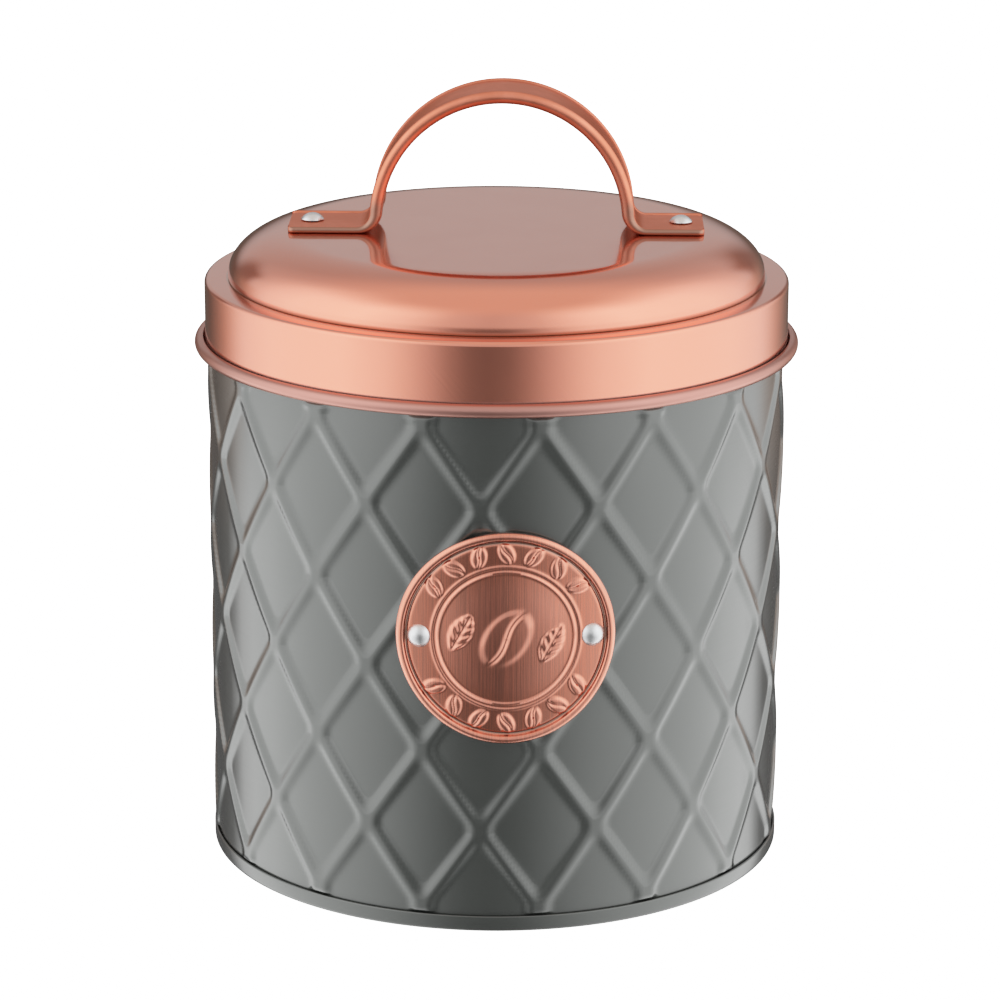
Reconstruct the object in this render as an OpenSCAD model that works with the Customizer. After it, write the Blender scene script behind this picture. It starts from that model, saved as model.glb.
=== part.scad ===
// Round kitchen storage tin: an embossed steel body, a slip-over domed lid with a strap handle,
// and a riveted round badge. Millimetres, +Z up. The origin is on the tin's axis, on the surface
// that it stands on. The badge faces -Y and the handle runs along X.

/* [Sheet metal] */
// Thickness of the sheet that the body, the base and the lid are pressed from
sheet_t = 0.5; // [0.4:0.05:0.7]

/* [Body] */
// Outside diameter over the raised lattice
tin_d = 125; // [100:1:160]
// Height of the body's rim above the table
rim_z = 124.65; // [100:0.5:170]
// Diameter of the inward curl round the rim
rim_curl_d = 2.4; // [1.8:0.1:3]

/* [Raised lattice] */
// Height of the ridges above the flat cells
ridge_h = 0.6; // [0.3:0.05:1]
// Width of a ridge
ridge_w = 4.5; // [2:0.1:6]
// Number of diamonds round the body
diamond_count = 16; // [10:1:22]
// Height from one row of crossings to the next
row_pitch = 17.28; // [12:0.1:24]
// Height of the top row of crossings, below the lid's bead
top_row_drop = 2.6; // [0:0.1:8]
// Angle from the badge's middle to the next column of crossings on its right
lattice_turn = 6.4; // [0:0.1:22]

/* [Side seam, at the back] */
// Width of the plain strip that the embossing leaves for the seam
seam_strip_w = 9; // [7:0.5:14]
// Width of the folded seam itself
seam_fold_w = 3.6; // [2:0.1:5]
// Height of the folded seam above the plain strip
seam_fold_h = 0.4; // [0.2:0.05:0.5]

/* [Base] */
// Height of the folded band round the foot of the body
foot_band_h = 3.4; // [2.5:0.1:6]
// Height of the base panel's underside above the table
base_recess = 2.6; // [2:0.1:5]
// Clearance between the body's edge and each side of the band's channel
channel_gap = 0.2; // [0.1:0.05:0.3]
// Height of the step in the base panel
panel_step_h = 0.6; // [0.3:0.1:1]
// Width of the lower ring of the base panel, outside its step
panel_ring_w = 16; // [8:1:24]

/* [Lid] */
// Clearance between the body's neck and the lid's skirt
lid_gap = 0.45; // [0.3:0.05:0.8]
// Height from the bottom of the bead to the shelf
skirt_h = 15.35; // [10:0.1:22]
// Diameter of the rolled bead round the skirt's lower edge
bead_d = 2.8; // [2.2:0.1:3.6]
// Opening angle of the gap between the bead's end and the skirt
bead_gap_deg = 50; // [30:5:80]
// Width of the flat shelf between the skirt and the shoulder
shelf_w = 5.05; // [4:0.1:9]
// Outside radius of the corner between the skirt and the shelf
shelf_corner_r = 1; // [0.8:0.1:2]
// Height that the shoulder rises above the shelf
shoulder_h = 10.05; // [5:0.1:16]
// Width of the shoulder, from the shelf in to the flat top
shoulder_w = 14.6; // [8:0.1:20]

/* [Seal] */
// Thickness of the seal ring under the shelf
seal_t = 1.5; // [1:0.1:3]
// Width of the seal ring
seal_w = 3.6; // [2.6:0.1:5]
// Clearance between the seal ring and the start of the shelf's rounded corner
seal_gap = 0.1; // [0.05:0.05:0.4]
// Clearance between the seal ring and the rim that it rests on
seal_rest_gap = 0.02; // [0.01:0.01:0.1]

/* [Handle] */
// Width of the strap
strap_w = 18.5; // [12:0.5:24]
// Thickness of the strap's rolled edges along the arch
strap_t = 2.75; // [2:0.05:3.5]
// Thickness of the web between the rolled edges
web_t = 1.3; // [0.9:0.05:1.6]
// Depth of the web below the top of the rolled edges
web_drop = 0.4; // [0.2:0.05:0.8]
// Width of each rolled edge
rolled_edge_w = 2.8; // [2:0.1:4]
// Thickness of the flattened feet
foot_t = 1.3; // [1:0.05:1.8]
// Length of a foot, from the arch's outer face to its end
foot_l = 16.1; // [13:0.1:22]
// Distance that a foot's end reaches past the lid's flat top
foot_overhang = 1.2; // [0:0.1:2]
// Height of the arch's centre above the lid's flat top
arch_rise = 2.45; // [2.2:0.05:3]
// Distance of the arch's middle from the middle between the feet, along the strap
arch_shift = 1.3; // [-2:0.1:2]
// Turn of the riveted handle about the lid's axis
handle_turn = -3; // [-10:0.5:10]
// Distance of the riveted handle's middle behind the lid's axis
handle_back = 1.9; // [-2:0.1:3]
// Radius of the bend under the strap, where a leg turns into its foot
under_bend_r = 5; // [4.5:0.1:7]
// Radius of the bend above the strap, where a leg turns into its foot
upper_bend_r = 3; // [2.5:0.1:3.6]

/* [Badge] */
// Diameter of the badge
badge_d = 45.1; // [30:0.5:60]
// Height of the badge's middle above the table
badge_z = 64.6; // [50:0.5:90]
// Thickness of the badge's plate
badge_t = 0.6; // [0.4:0.05:1]
// Clearance between the badge and the ridges behind it
badge_gap = 0.05; // [0.02:0.01:0.2]
// Width of the raised rim round the badge
badge_rim_w = 1.6; // [1:0.1:3]
// Height of the raised rim above the plate
badge_rim_h = 0.9; // [0.4:0.1:1.2]
// Radius of the fine ring inside the badge
badge_ring_r = 15; // [12:0.5:15.5]
// Width of the fine ring
badge_ring_w = 0.8; // [0.4:0.1:1.5]
// Height of the fine ring and of the coffee bean above the plate
badge_relief_h = 0.4; // [0.2:0.05:0.6]
// Length of the coffee bean in the middle of the badge
bean_l = 17; // [10:0.5:20]
// Width of the coffee bean
bean_w = 11.5; // [7:0.5:14]
// Width of the coffee bean's crease
bean_crease_w = 1.2; // [0.6:0.1:2]

/* [Rivets] */
// Diameter of a rivet's domed head
rivet_head_d = 5; // [3.4:0.1:6]
// Height of a rivet's domed head
rivet_head_h = 1.4; // [0.8:0.1:2]
// Diameter of a rivet's shank
rivet_shank_d = 2.4; // [1.6:0.1:2.6]
// Diameter of a rivet's flattened tail
rivet_tail_d = 3.8; // [3:0.1:5]
// Height of a rivet's flattened tail
rivet_tail_h = 0.9; // [0.6:0.1:1.4]
// Clearance round a rivet's shank
rivet_gap = 0.05; // [0.03:0.01:0.15]
// Distance from a handle rivet to the end of its foot
handle_rivet_inset = 4.8; // [3:0.1:6]
// Distance from a badge rivet to the edge of the badge
badge_rivet_inset = 4.65; // [4.2:0.1:6]

/* [Hidden] */
$fn = 96;

// Body
tin_r = tin_d / 2;
cell_r = tin_r - ridge_h;
bore_r = cell_r - sheet_t;
curl_r = rim_curl_d / 2;
curl_centre = [cell_r - curl_r, rim_z - curl_r];

// Lid
skirt_in_r = cell_r + lid_gap;
skirt_r = skirt_in_r + sheet_t;
shelf_z = rim_z + seal_rest_gap + seal_t + sheet_t;
bead_r = bead_d / 2;
bead_centre = [skirt_in_r + bead_r, shelf_z - skirt_h + bead_r];
shoulder_r = skirt_r - shelf_w;
flat_top_r = shoulder_r - shoulder_w;
flat_top_z = shelf_z + shoulder_h;

// Raised lattice: it ends just below the lid's bead and just above the foot band
lattice_gap = 0.3;
lattice_low_z = foot_band_h + lattice_gap;
lattice_high_z = shelf_z - skirt_h - lattice_gap;
top_row_z = shelf_z - skirt_h - top_row_drop;
column_deg = 360 / diamond_count;
half_column_w = 3.14159265 * tin_r / diamond_count;
slope_deg = atan(half_column_w / row_pitch);
cell_half_w = half_column_w - ridge_w / 2 / cos(slope_deg);
cell_half_h = row_pitch - ridge_w / 2 / sin(slope_deg);
row_count = floor((top_row_z - lattice_low_z) / row_pitch) + 1;
pocket_reach = 2;

// Base
channel_in_r = bore_r - channel_gap;
channel_out_r = cell_r + channel_gap;
foot_band_r = channel_out_r + sheet_t;
panel_r = channel_in_r - sheet_t;
foot_round_r = 0.8;

// Handle
foot_end_x = flat_top_r + foot_overhang;
arch_r = foot_end_x - foot_l;
arch_z = flat_top_z + arch_rise;
arch_in_r = arch_r - strap_t;
handle_rivet_x = foot_end_x - handle_rivet_inset;
under_bend_z = flat_top_z + under_bend_r;
under_bend_x = sqrt(pow(arch_in_r + under_bend_r, 2) - pow(under_bend_z - arch_z, 2));
upper_bend_z = flat_top_z + foot_t + upper_bend_r;
upper_bend_x = sqrt(pow(arch_r + upper_bend_r, 2) - pow(upper_bend_z - arch_z, 2));
leg_join_z = (arch_z + under_bend_z) / 2 + 0.8;
web_low_z = arch_z + 6;

// Badge: its plate follows the body's curve, just outside the ridges
badge_in_r = tin_r + badge_gap;
badge_out_r = badge_in_r + badge_t;
badge_rivet_x = badge_d / 2 - badge_rivet_inset;
badge_rivet_deg = asin(badge_rivet_x / badge_out_r);
tail_seat_gap = 0.04;

// ---- Shared shapes ----

// Points along an arc of an ellipse, its two half-widths in r, between two angles
function arc(centre, r, from, to, steps) =
  [for (i = [0 : steps])
    let (a = from + (to - from) * i / steps)
    centre + [r[0] * cos(a), r[1] * sin(a)]];

// A tube between two radii, from one height to another
module tube(outer_r, inner_r, low_z, high_z)
  translate([0, 0, low_z]) difference() {
    cylinder(r = outer_r, h = high_z - low_z);
    translate([0, 0, -1]) cylinder(r = inner_r, h = high_z - low_z + 2);
  }

// A flat outline with x across and y up, pushed out towards -Y from one distance to another
module outward(near, far)
  translate([0, -near, 0]) rotate([90, 0, 0]) linear_extrude(far - near) children();

// A rivet along +Z: the head sits on z = 0 and the tail starts grip below it
module rivet(grip) {
  head_r = rivet_head_d / 2;
  dome_r = (head_r * head_r + rivet_head_h * rivet_head_h) / (2 * rivet_head_h);
  intersection() {
    translate([0, 0, rivet_head_h - dome_r]) sphere(r = dome_r);
    cylinder(r = head_r + 1, h = rivet_head_h + 1);
  }
  translate([0, 0, -grip]) cylinder(d = rivet_shank_d, h = grip);
  translate([0, 0, -grip - rivet_tail_h]) cylinder(d = rivet_tail_d, h = rivet_tail_h);
}

// The clearance hole of a rivet along +Z
module rivet_hole(low_z, high_z)
  translate([0, 0, low_z]) cylinder(d = rivet_shank_d + 2 * rivet_gap, h = high_z - low_z);

// Carries a part of the handle from the lid's axis to where the handle is riveted
module at_handle()
  translate([0, handle_back, 0]) rotate([0, 0, handle_turn]) children();

// Turns +Z to point outwards from the tin's axis, at a badge rivet (side is -1 or 1)
module at_badge_rivet(side)
  translate([0, 0, badge_z]) rotate([90, 0, side * badge_rivet_deg]) children();

// ---- Body ----

// The flat cells between the ridges, as pockets down to the cells' radius
module lattice_pockets()
  difference() {
    for (row = [0 : row_count], column = [0 : diamond_count - 1])
      rotate([0, 0, lattice_turn + (column + (row % 2 == 0 ? 0.5 : 0)) * column_deg])
        translate([0, 0, top_row_z - row * row_pitch])
          outward(cell_r - pocket_reach, tin_r + pocket_reach)
            polygon([[0, cell_half_h], [cell_half_w, 0], [0, -cell_half_h], [-cell_half_w, 0]]);
    cylinder(r = cell_r, h = rim_z + row_pitch);
    translate([0, 0, -2 * row_pitch]) cylinder(r = 2 * tin_r, h = 2 * row_pitch + lattice_low_z);
    translate([0, 0, lattice_high_z]) cylinder(r = 2 * tin_r, h = 2 * row_pitch);
  }

// The plain strip down the back, with the folded seam standing on it
module seam_strip()
  difference() {
    translate([-seam_strip_w / 2, cell_r - 3, lattice_low_z - 1])
      cube([seam_strip_w, 6, lattice_high_z - lattice_low_z + 2]);
    translate([0, 0, lattice_low_z - 2]) cylinder(r = cell_r, h = rim_z);
    intersection() {
      translate([0, 0, lattice_low_z - 2]) cylinder(r = cell_r + seam_fold_h, h = rim_z);
      translate([-seam_fold_w / 2, 0, lattice_low_z - 2]) cube([seam_fold_w, tin_r, rim_z]);
    }
  }

// Section of the wall: thicker where the lattice stands, then the neck, then the curl at the rim
module wall_section()
  polygon(concat(
    [[bore_r, sheet_t], [cell_r, sheet_t]],
    [[cell_r, lattice_low_z], [tin_r, lattice_low_z], [tin_r, lattice_high_z], [cell_r, lattice_high_z]],
    arc(curl_centre, [curl_r, curl_r], 0, 270, 18),
    arc(curl_centre, [curl_r - sheet_t, curl_r - sheet_t], 270, 0, 18)));

module body_wall()
  color("#8f9a92") difference() {
    rotate_extrude() wall_section();
    lattice_pockets();
    seam_strip();
    for (side = [-1, 1]) at_badge_rivet(side) rivet_hole(bore_r - 2, tin_r + 1);
  }

// ---- Base ----

// Section of the base: the channel that grips the body's edge, and the stepped panel
module base_section() {
  band_w = foot_band_r - panel_r;
  step_r = panel_r - panel_ring_w;
  difference() {
    union() {
      translate([panel_r, foot_round_r]) square([band_w, foot_band_h - foot_round_r]);
      translate([panel_r + foot_round_r, 0]) square([band_w - 2 * foot_round_r, foot_band_h]);
      for (x = [panel_r + foot_round_r, foot_band_r - foot_round_r])
        translate([x, foot_round_r]) circle(r = foot_round_r);
    }
    translate([channel_in_r, sheet_t]) square([channel_out_r - channel_in_r, foot_band_h]);
    translate([panel_r - 1, base_recess + sheet_t]) square([sheet_t + 1, foot_band_h]);
  }
  translate([step_r, base_recess]) square([panel_r + sheet_t / 2 - step_r, sheet_t]);
  translate([step_r, base_recess]) square([sheet_t, panel_step_h + sheet_t]);
  translate([0, base_recess + panel_step_h]) square([step_r + sheet_t / 2, sheet_t]);
}

module base_pan()
  color("#87928b") rotate_extrude() base_section();

// ---- Badge ----

// Half of a coffee bean's outline, as an ellipse, less the crease down its middle
module bean_outline(side)
  rotate([0, 0, -35]) difference() {
    polygon(arc([0, 0], [bean_w / 2, bean_l / 2], 0, 350, 35));
    translate([side * (bean_w / 2 - bean_crease_w / 2), 0]) square([bean_w, bean_l + 2], center = true);
    translate([-side * bean_w, -bean_l]) square([bean_w, 2 * bean_l]);
  }

module badge() {
  outer_r = badge_d / 2;
  color("#a9705a") difference() {
    union() {
      intersection() {
        tube(badge_out_r, badge_in_r, badge_z - badge_d, badge_z + badge_d);
        translate([0, 0, badge_z]) outward(tin_r / 2, tin_r + 4) circle(r = outer_r);
      }
      intersection() {
        tube(badge_out_r + badge_rim_h, badge_in_r, badge_z - badge_d, badge_z + badge_d);
        translate([0, 0, badge_z]) outward(tin_r / 2, tin_r + 4) difference() {
          circle(r = outer_r);
          circle(r = outer_r - badge_rim_w);
        }
      }
      intersection() {
        tube(badge_out_r + badge_relief_h, badge_in_r, badge_z - badge_d, badge_z + badge_d);
        translate([0, 0, badge_z]) outward(tin_r / 2, tin_r + 4) union() {
          difference() {
            circle(r = badge_ring_r);
            circle(r = badge_ring_r - badge_ring_w);
          }
          bean_outline(1);
          bean_outline(-1);
        }
      }
    }
    for (side = [-1, 1]) at_badge_rivet(side) rivet_hole(badge_in_r - 2, badge_out_r + 3);
  }
}

module badge_rivet(side)
  color("#b9bdbf") at_badge_rivet(side)
    translate([0, 0, badge_out_r]) rivet(badge_out_r - bore_r + tail_seat_gap);

module badge_rivet_left() badge_rivet(-1);
module badge_rivet_right() badge_rivet(1);

// ---- Lid ----

// Section of the lid's sheet: the flat top, a quarter-ellipse shoulder, the shelf and its rounded
// corner, the skirt, and the bead that curls outwards and up from the skirt's lower edge
module lid_section() {
  shoulder_centre = [flat_top_r, shelf_z];
  shoulder_size = [shoulder_w, shoulder_h];
  corner_centre = [skirt_r - shelf_corner_r, shelf_z - shelf_corner_r];
  corner_size = [shelf_corner_r, shelf_corner_r];
  bead_size = [bead_r, bead_r];
  thickness = [sheet_t, sheet_t];
  bead_end = 540 - bead_gap_deg;
  polygon(concat(
    [[0, flat_top_z]],
    arc(shoulder_centre, shoulder_size, 90, 0, 15),
    arc(corner_centre, corner_size, 90, 0, 6),
    arc(bead_centre, bead_size - thickness, 180, bead_end, 20),
    arc(bead_centre, bead_size, bead_end, 180, 20),
    arc(corner_centre, corner_size - thickness, 0, 90, 6),
    [[shoulder_r - sheet_t, shelf_z - sheet_t]],
    arc(shoulder_centre, shoulder_size - thickness, 0, 90, 15),
    [[0, flat_top_z - sheet_t]]));
}

module lid_shell()
  color("#c4805f") difference() {
    rotate_extrude() lid_section();
    for (side = [-1, 1]) at_handle() translate([side * handle_rivet_x, 0, 0])
      rivet_hole(flat_top_z - sheet_t - 1, flat_top_z + 1);
  }

module lid_seal() {
  outer_r = skirt_r - shelf_corner_r - seal_gap;
  color("#d9d6cf") tube(outer_r, outer_r - seal_w, shelf_z - sheet_t - seal_t, shelf_z - sheet_t);
}

// ---- Handle ----

// One end of the strap's outline, to +X of the arch's middle: the leg's bend and the flat foot,
// which ends at a given reach
module foot_outline(reach) {
  difference() {
    intersection() {
      union() {
        translate([under_bend_x, under_bend_z]) circle(r = under_bend_r);
        translate([under_bend_x, flat_top_z]) square([foot_l, under_bend_r]);
      }
      translate([0, flat_top_z]) square([upper_bend_x, leg_join_z - flat_top_z]);
    }
    translate([upper_bend_x, upper_bend_z]) circle(r = upper_bend_r);
  }
  translate([under_bend_x, flat_top_z]) square([reach - under_bend_x, foot_t]);
}

// Part of the arch's ring between two radii, above a height
module arch_ring(outer_r, inner_r, low_z)
  intersection() {
    translate([0, arch_z]) difference() {
      circle(r = outer_r);
      circle(r = inner_r);
    }
    translate([-2 * arch_r, low_z]) square([4 * arch_r, 3 * arch_r]);
  }

module strap_outline() {
  arch_ring(arch_r, arch_in_r, leg_join_z);
  foot_outline(foot_end_x - arch_shift);
  mirror([1, 0]) foot_outline(foot_end_x + arch_shift);
}

// The strap's rolled edges stand above and below a thinner web
module lid_handle() {
  web_w = strap_w - 2 * rolled_edge_w;
  color("#c08468") at_handle() difference() {
    translate([arch_shift, 0, 0]) outward(-strap_w / 2, strap_w / 2) strap_outline();
    translate([arch_shift, 0, 0]) outward(-web_w / 2, web_w / 2) {
      arch_ring(arch_r + 1, arch_r - web_drop, web_low_z);
      arch_ring(arch_r - web_drop - web_t, arch_in_r - 1, web_low_z);
    }
    for (side = [-1, 1]) translate([side * handle_rivet_x, 0, 0])
      rivet_hole(flat_top_z - 1, flat_top_z + foot_t + 1);
  }
}

module handle_rivet(side)
  color("#b9bdbf") at_handle() translate([side * handle_rivet_x, 0, flat_top_z + foot_t])
    rivet(foot_t + sheet_t);

module handle_rivet_left() handle_rivet(-1);
module handle_rivet_right() handle_rivet(1);

body_wall();
base_pan();
badge();
badge_rivet_left();
badge_rivet_right();
lid_shell();
lid_seal();
lid_handle();
handle_rivet_left();
handle_rivet_right();
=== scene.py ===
"""Looks of a round lidded kitchen tin: an embossed painted body, a copper lid with a strap handle,
and a riveted copper badge. Metres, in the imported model's own frame: +Z up, the badge faces -Y."""
import math

import bpy
import numpy as np
from mathutils import Matrix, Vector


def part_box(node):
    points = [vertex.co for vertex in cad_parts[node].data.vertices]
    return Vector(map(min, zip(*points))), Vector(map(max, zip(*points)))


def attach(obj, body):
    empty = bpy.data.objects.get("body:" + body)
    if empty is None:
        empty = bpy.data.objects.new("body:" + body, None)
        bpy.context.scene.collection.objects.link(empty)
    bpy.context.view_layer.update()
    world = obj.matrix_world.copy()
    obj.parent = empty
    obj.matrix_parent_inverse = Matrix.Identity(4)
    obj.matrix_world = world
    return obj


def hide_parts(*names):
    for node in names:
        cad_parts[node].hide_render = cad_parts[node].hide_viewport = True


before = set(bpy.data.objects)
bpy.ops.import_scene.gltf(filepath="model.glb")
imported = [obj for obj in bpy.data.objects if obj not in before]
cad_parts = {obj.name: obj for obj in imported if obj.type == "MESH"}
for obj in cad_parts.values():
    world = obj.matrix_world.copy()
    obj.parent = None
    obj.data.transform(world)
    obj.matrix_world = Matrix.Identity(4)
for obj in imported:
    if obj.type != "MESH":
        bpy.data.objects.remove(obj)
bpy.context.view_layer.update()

MM = 0.001
wall_low, wall_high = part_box("body_wall")
lid_low, lid_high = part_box("lid_shell")
seal_low, seal_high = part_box("lid_seal")
_, handle_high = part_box("lid_handle")
badge_low, badge_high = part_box("badge")
rivet_low, rivet_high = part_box("handle_rivet_right")
left_rivet_low, left_rivet_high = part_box("handle_rivet_left")

# Sheet metal and body. FOLD is the seam down the back, on a plain STRIP.
SHEET = 0.5 * MM
RIDGE_H = 0.6 * MM
TIN_R = wall_high.x
CELL_R = TIN_R - RIDGE_H
BORE_R = CELL_R - SHEET
RIM_Z = wall_high.z
CURL_R = 1.2 * MM
STRIP_HALF_W, STRIP_EDGE = 4.5 * MM, 1 * MM
FOLD_HALF_W, FOLD_H, FOLD_EDGE = 1.8 * MM, 0.4 * MM, 0.6 * MM

# Base, whose channel grips the wall's lower edge
CHANNEL_GAP = 0.2 * MM
FOOT_BAND_H = 3.4 * MM
BASE_RECESS = 2.6 * MM
PANEL_STEP_H = 0.6 * MM
PANEL_RING_W = 16 * MM
BASE_FILLET = 0.8 * MM

# Raised lattice: ridges run from crossing to crossing, and crossings stand in rows and columns
DIAMONDS = 16
HALF_COLUMN = math.pi / DIAMONDS
ROW_PITCH = 17.28 * MM
TOP_ROW_Z = lid_low.z - 2.6 * MM
LATTICE_TURN = math.radians(6.4)
LATTICE_LOW = 3.7 * MM
LATTICE_HIGH = lid_low.z - 0.3 * MM
RIDGE_CREST = 0.3 * MM
RIDGE_SLOPE = 1.75 * MM
CORNER_BLEND = 2.4 * MM
GRID_PER_COLUMN = 18

# Lid. TUCK is how far the shoulder turns in at its foot, and the bead's sheet ends at BEAD_END,
# in degrees round the bead.
LID_GAP = 0.45 * MM
SHELF_W = 5.05 * MM
SKIRT_IN_R = CELL_R + LID_GAP
SKIRT_R = SKIRT_IN_R + SHEET
FLAT_TOP_Z = lid_high.z
SHOULDER_H = 10.05 * MM
SHOULDER_W = 14.6 * MM
SHELF_Z = FLAT_TOP_Z - SHOULDER_H
SHOULDER_R = SKIRT_R - SHELF_W
FLAT_TOP_R = SHOULDER_R - SHOULDER_W
SHELF_ROUND = 1 * MM
BEAD_R = (lid_high.x - SKIRT_IN_R) / 2
BEAD_Z = lid_low.z + BEAD_R
BEAD_END = 360 + 106
TUCK_H, TUCK_W = 0.55 * MM, 0.25 * MM

# Seal
SEAL_W = 3.6 * MM
SEAL_GROOVE = 0.3 * MM

# Badge. IN is a distance from the edge, and the turns and leans are in degrees.
BADGE_R = badge_high.x
BADGE_Z = (badge_low.z + badge_high.z) / 2
BADGE_BACK_R = TIN_R + 0.05 * MM
BADGE_FACE_R = BADGE_BACK_R + 0.6 * MM
BADGE_RIVET_IN = 4.65 * MM
BADGE_RIVET_X = BADGE_R - BADGE_RIVET_IN
RIM_HALF_W, BADGE_RIM_H = 0.85 * MM, 0.9 * MM
RIM_GROOVE_IN, RIM_GROOVE_H, RIM_GROOVE_W = 2.15 * MM, 0.22 * MM, 0.3 * MM
RING_RADII = (14.15 * MM, 15.25 * MM)
RING_H, RING_W = 0.3 * MM, 0.24 * MM
DOME_R, DOME_H = 13.6 * MM, 0.5 * MM
BEAN_ARC_R = 18.15 * MM
BEAN_STEP, BEAN_LEAN = 18, 62
SMALL_BEAN, SMALL_BEAN_H, SMALL_CREASE = (2.5 * MM, 1.65 * MM), 0.45 * MM, 0.24 * MM
BIG_BEAN, BIG_BEAN_H, BIG_CREASE = (7.2 * MM, 4.7 * MM), 0.42 * MM, 0.55 * MM
LEAF, LEAF_H = (5 * MM, 2.5 * MM), 0.48 * MM
LEAF_X, LEAF_Z = 9.3 * MM, 1.2 * MM
BIG_LEAN, LEAF_LEAN = 55, 62

# Handle: its rivets say where it is riveted and which way it runs. The RIB heights are how far
# its web lies below its rolled edges: on the feet, over the arch and under the arch.
STRAP_RIGHT = (rivet_low + rivet_high) / 2
STRAP_LEFT = (left_rivet_low + left_rivet_high) / 2
STRAP_MIDDLE = (STRAP_RIGHT + STRAP_LEFT) / 2
STRAP_TURN = math.atan2(STRAP_RIGHT.y - STRAP_LEFT.y, STRAP_RIGHT.x - STRAP_LEFT.x)
PAST_RIVET = 4.8 * MM
STRAP_HALF_L = (STRAP_RIGHT - STRAP_LEFT).length / 2 + PAST_RIVET
STRAP_HALF_W = 9.25 * MM
STRAP_T = 2.75 * MM
FOOT_T = 1.3 * MM
FOOT_CORNER_R = 1.3 * MM
WEB_EDGE_IN = 3.1 * MM
FOOT_RIB_H, ARCH_RIB_H, UNDER_RIB_H = 0.22 * MM, 0.40 * MM, 1.05 * MM
RIB_FALL_W = 1.35 * MM
ARCH_START_H, ARCH_FULL_H = 2 * MM, 9 * MM
ARCH_SHIFT = 1.3 * MM
ARCH_Z = FLAT_TOP_Z + 2.45 * MM
ARCH_OUT_R = handle_high.z - ARCH_Z
ARCH_IN_R = ARCH_OUT_R - STRAP_T
UNDER_BEND_R = 5 * MM
UPPER_BEND_R = 3 * MM
BEND_RISE = FLAT_TOP_Z + UNDER_BEND_R - ARCH_Z
BEND_X = math.sqrt((ARCH_IN_R + UNDER_BEND_R) ** 2 - BEND_RISE ** 2)

# Rivets
RIVET_HEAD_R = (rivet_high.x - rivet_low.x) / 2
RIVET_HEAD_H = 1.4 * MM
RIVET_SHANK_R = 1.2 * MM
RIVET_TAIL_R = 1.9 * MM
RIVET_TAIL_H = 0.9 * MM


# ---- Surfaces ----

def smooth_step(x):
    """0 below 0, 1 above 1, and 3x^2 - 2x^3 between."""
    x = np.clip(x, 0, 1)
    return x * x * (3 - 2 * x)


def arc(centre, radii, start, end, steps):
    """Points along an ellipse from one angle to another, in degrees: centre + radii * (cos, sin)."""
    a = np.radians(np.linspace(start, end, steps + 1))
    return np.stack([centre[0] + radii[0] * np.cos(a), centre[1] + radii[1] * np.sin(a)], 1)


def rounded(corners, radius, steps=4, closed=False):
    """An outline whose corners are turned on an arc: each corner is swapped for a quadratic curve
    between the points a radius before and after it, or nearer where the sides are short."""
    corners = np.array(corners, float)
    before = np.roll(corners, 1, 0)
    after = np.roll(corners, -1, 0)
    t = np.linspace(0, 1, steps + 1)[:, None]
    line = []
    for i, corner in enumerate(corners):
        if not closed and i in (0, len(corners) - 1):
            line.append(corner[None])
            continue
        back = before[i] - corner
        ahead = after[i] - corner
        reach = min(radius, np.hypot(*back) * 0.45, np.hypot(*ahead) * 0.45)
        p = corner + back / np.hypot(*back) * reach
        q = corner + ahead / np.hypot(*ahead) * reach
        line.append((1 - t) ** 2 * p + 2 * t * (1 - t) * corner + t ** 2 * q)
    return np.concatenate(line)


def grid_faces(rows, columns, wrap_rows, wrap_columns):
    """Corner numbers of the quads between neighbouring rows and columns of a grid."""
    r = np.arange(rows if wrap_rows else rows - 1)
    c = np.arange(columns if wrap_columns else columns - 1)
    r, c = np.meshgrid(r, c, indexing="ij")
    below = (r + 1) % rows
    beside = (c + 1) % columns
    corners = (r * columns + c, r * columns + beside, below * columns + beside, below * columns + c)
    return np.stack(corners, -1).reshape(-1, 4)


def fan_faces(ring, pole):
    """Corner numbers of the triangles between a ring of points and its pole."""
    return np.stack([ring, np.full_like(ring, pole), np.roll(ring, -1)], 1)


def make_mesh(name, points, wrap_rows=False, wrap_columns=True, poles=(), sharp=40):
    """A mesh through a grid of points (rows, columns, xyz). poles are the two points that close the
    first and the last row. The faces are turned so that the closed surface has a positive volume."""
    rows, columns = points.shape[:2]
    verts = points.reshape(-1, 3)
    faces = grid_faces(rows, columns, wrap_rows, wrap_columns)
    fans = np.zeros((0, 3), int)
    if len(poles):
        count = len(verts)
        verts = np.concatenate([verts, np.array(poles, float)])
        first = fan_faces(np.arange(columns), count)
        last = fan_faces(np.arange(count - columns, count), count + 1)
        fans = np.concatenate([first, last[:, ::-1]])
    halves = np.concatenate([faces[:, [0, 1, 2]], faces[:, [0, 2, 3]], fans])
    a, b, c = verts[halves[:, 0]], verts[halves[:, 1]], verts[halves[:, 2]]
    if np.einsum("ij,ij->", a, np.cross(b, c)) < 0:
        faces = faces[:, ::-1]
        fans = fans[:, ::-1]
    mesh = bpy.data.meshes.new(name)
    mesh.from_pydata(verts.tolist(), [], faces.tolist() + fans.tolist())
    mesh.polygons.foreach_set("use_smooth", np.ones(len(mesh.polygons), bool))
    mesh.set_sharp_from_angle(angle=math.radians(sharp))
    mesh.update()
    return mesh


def make_piece(name, mesh, material, body=None, node=None):
    """An object at the origin for a mesh, riding on a body in place of its CAD node."""
    piece = bpy.data.objects.new(name, mesh)
    bpy.context.scene.collection.objects.link(piece)
    mesh.materials.append(material)
    if body:
        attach(piece, body)
        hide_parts(node)
    return piece


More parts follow.
